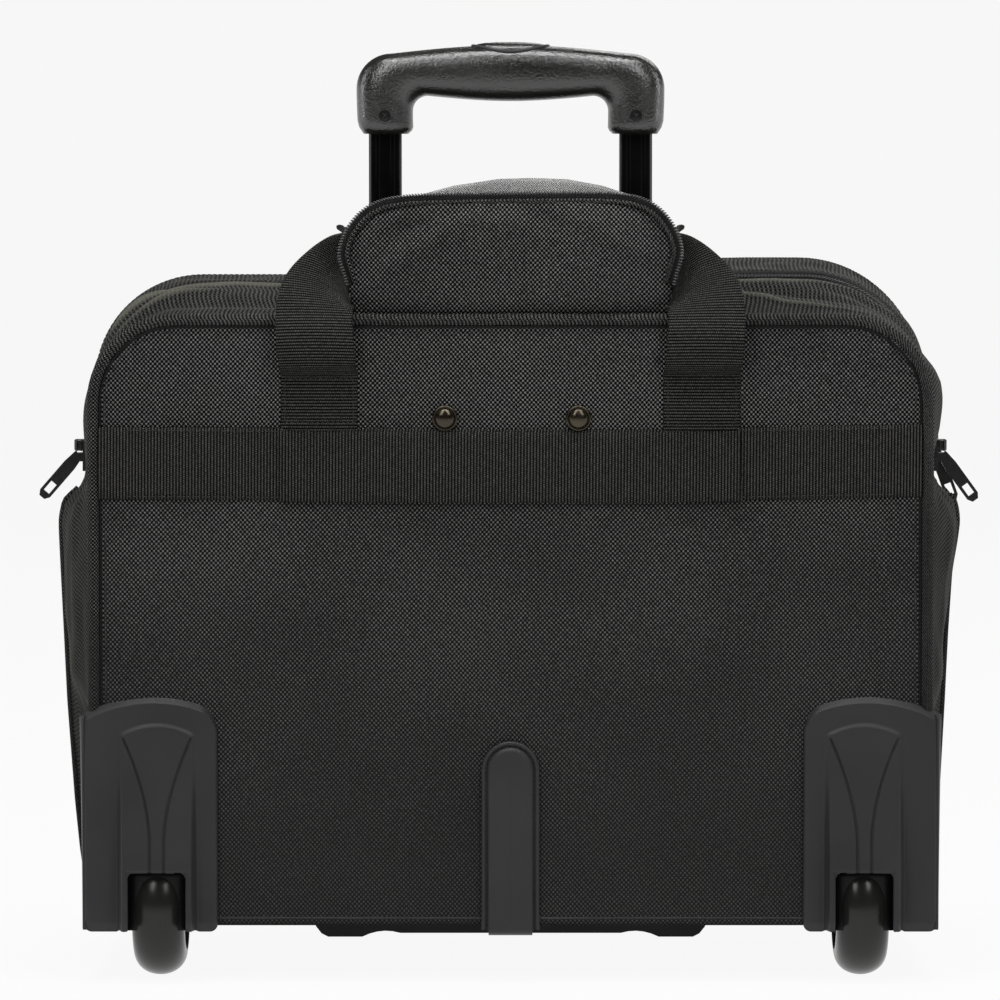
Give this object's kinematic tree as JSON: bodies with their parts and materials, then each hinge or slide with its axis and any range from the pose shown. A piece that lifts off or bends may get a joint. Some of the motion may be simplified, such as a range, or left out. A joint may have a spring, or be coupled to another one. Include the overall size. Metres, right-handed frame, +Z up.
{
  "type": "rolling laptop case",
  "caption": "Wheeled soft laptop case with a telescopic trolley handle behind a zipped flap, webbing carry handles and a zipped front pocket.",
  "frame": {"origin": "on the ground, under the middle of the case", "axes": "+Z up, -Y towards the wheels and back panel, +X to the right as seen from the wheel side"},
  "size_m": [0.476, 0.2186, 0.4663],
  "materials": {
    "nylon": "matte ballistic weave",
    "piping": "tight woven cover over cord",
    "webbing": "ribbed webbing",
    "zip_tape": "coil zip on woven tape",
    "zip_teeth": "semi-gloss coil teeth",
    "lining": "smooth lining cloth",
    "board": "fabric-covered board",
    "housing_plastic": "fine matte",
    "moulding": "fine matte",
    "grip_plastic": "pebbled satin",
    "tyre": "gloss black",
    "black_tube": "gloss black anodised",
    "black_metal": "gloss black",
    "steel": "satin",
    "antique_brass": "antique, semi-gloss"
  },
  "bodies": {
    "case": {"back_panel": "nylon", "back_piping": "piping", "webbing_band": "webbing", "skid_strip": "moulding", "snap_stud_left": "antique_brass", "snap_stud_right": "antique_brass", "carry_strap_left": "webbing", "carry_strap_right": "webbing", "rear_gusset": "nylon", "handle_well": "lining", "zip_rear": "zip_tape", "zip_front": "zip_tape", "middle_gusset": "nylon", "front_shell_lower": "nylon", "bottom_board": "board", "handle_cover": "lining", "laptop_divider": "lining", "outer_tube_left": "black_tube", "outer_tube_right": "black_tube", "handle_bezel": "moulding", "tube_foot_bracket": "moulding", "wheel_housing_left": "housing_plastic", "wheel_housing_right": "housing_plastic", "axle_left": "steel", "axle_right": "steel", "front_stand": "moulding"},
    "middle_stage": {"middle_tube_left": "black_tube", "middle_tube_right": "black_tube"},
    "inner_stage": {"inner_tube_left": "black_tube", "inner_tube_right": "black_tube", "trolley_grip": "grip_plastic", "grip_screw_left": "black_metal", "grip_screw_right": "black_metal"},
    "release": {"release_button": "grip_plastic", "release_rod_left": "steel", "release_rod_right": "steel"},
    "wheel_left": {"tyre_left": "tyre", "wheel_hub_left": "moulding", "bearing_left_inner": "steel", "bearing_left_outer": "steel"},
    "wheel_right": {"tyre_right": "tyre", "wheel_hub_right": "moulding", "bearing_right_inner": "steel", "bearing_right_outer": "steel"},
    "handle_flap": {"handle_flap": "nylon", "flap_zip": "zip_teeth", "flap_lining": "lining"},
    "rear_loop": {"carry_loop_rear": "webbing"},
    "front_section": {"front_shell_upper": "nylon", "front_pocket": "nylon", "pocket_zip": "zip_tape"},
    "front_loop": {"carry_loop_front": "webbing"},
    "rear_zip_left_slider": {"rear_zip_left_slider": "black_metal"},
    "rear_zip_left_pull": {"rear_zip_left_pull": "black_metal"},
    "rear_zip_right_slider": {"rear_zip_right_slider": "black_metal"},
    "rear_zip_right_pull": {"rear_zip_right_pull": "black_metal"},
    "front_zip_slider": {"front_zip_slider": "black_metal"},
    "front_zip_pull": {"front_zip_pull": "black_metal"},
    "pocket_zip_slider": {"pocket_zip_slider": "black_metal"},
    "pocket_zip_pull": {"pocket_zip_pull": "black_metal"}
  },
  "joints": [
    {"name": "middle_stage_slide", "type": "slide", "parent": "case", "child": "middle_stage", "axis": [0, 0, 1], "range_m": [0, 0.25]},
    {"name": "inner_stage_slide", "type": "slide", "parent": "middle_stage", "child": "inner_stage", "axis": [0, 0, 1], "range_m": [-0.078, 0.17]},
    {"name": "release_button_press", "type": "slide", "parent": "inner_stage", "child": "release", "axis": [0, 0, -1], "range_m": [0, 0.003], "stiffness_N_per_m": 1200, "springref_m": -0.002},
    {"name": "wheel_left_roll", "type": "hinge", "parent": "case", "child": "wheel_left", "pos_m": [-0.174, -0.073, 0.035], "axis": [1, 0, 0], "continuous": true},
    {"name": "wheel_right_roll", "type": "hinge", "parent": "case", "child": "wheel_right", "pos_m": [0.174, -0.073, 0.035], "axis": [1, 0, 0], "continuous": true},
    {"name": "handle_flap_fold", "type": "hinge", "parent": "case", "child": "handle_flap", "pos_m": [0, -0.092, 0.3325], "axis": [1, 0, 0], "range_deg": [0, 113]},
    {"name": "rear_loop_lift", "type": "hinge", "parent": "case", "child": "rear_loop", "pos_m": [0, -0.0958, 0.3421], "axis": [1, 0, 0], "range_deg": [0, 16]},
    {"name": "front_section_tip", "type": "hinge", "parent": "case", "child": "front_section", "pos_m": [0, 0.101, 0.108], "axis": [-1, 0, 0], "range_deg": [0, 35]},
    {"name": "front_loop_lift", "type": "hinge", "parent": "front_section", "child": "front_loop", "pos_m": [0, 0.089, 0.3], "axis": [1, 0, 0], "range_deg": [0, 115]},
    {"name": "rear_zip_left_run", "type": "slide", "parent": "case", "child": "rear_zip_left_slider", "axis": [0, 0, 1], "range_m": [0, 0.024]},
    {"name": "rear_zip_left_pull_swing", "type": "hinge", "parent": "rear_zip_left_slider", "child": "rear_zip_left_pull", "pos_m": [-0.2196, -0.031, 0.2575], "axis": [0, 1, 0], "range_deg": [-28, 60]},
    {"name": "rear_zip_right_run", "type": "slide", "parent": "case", "child": "rear_zip_right_slider", "axis": [0, 0, 1], "range_m": [0, 0.024]},
    {"name": "rear_zip_right_pull_swing", "type": "hinge", "parent": "rear_zip_right_slider", "child": "rear_zip_right_pull", "pos_m": [0.2196, -0.031, 0.2575], "axis": [0, -1, 0], "range_deg": [-23, 60]},
    {"name": "front_zip_run", "type": "slide", "parent": "case", "child": "front_zip_slider", "axis": [0, 0, 1], "range_m": [0, 0.024]},
    {"name": "front_zip_pull_swing", "type": "hinge", "parent": "front_zip_slider", "child": "front_zip_pull", "pos_m": [0.2196, 0.021, 0.2575], "axis": [0, -1, 0], "range_deg": [-7, 60]},
    {"name": "pocket_zip_run", "type": "slide", "parent": "front_section", "child": "pocket_zip_slider", "axis": [1, 0, 0], "range_m": [0, 0.29]},
    {"name": "pocket_zip_pull_swing", "type": "hinge", "parent": "pocket_zip_slider", "child": "pocket_zip_pull", "pos_m": [-0.158, 0.0906, 0.258], "axis": [0, 0, 1], "range_deg": [-8, 90]}
  ]
}
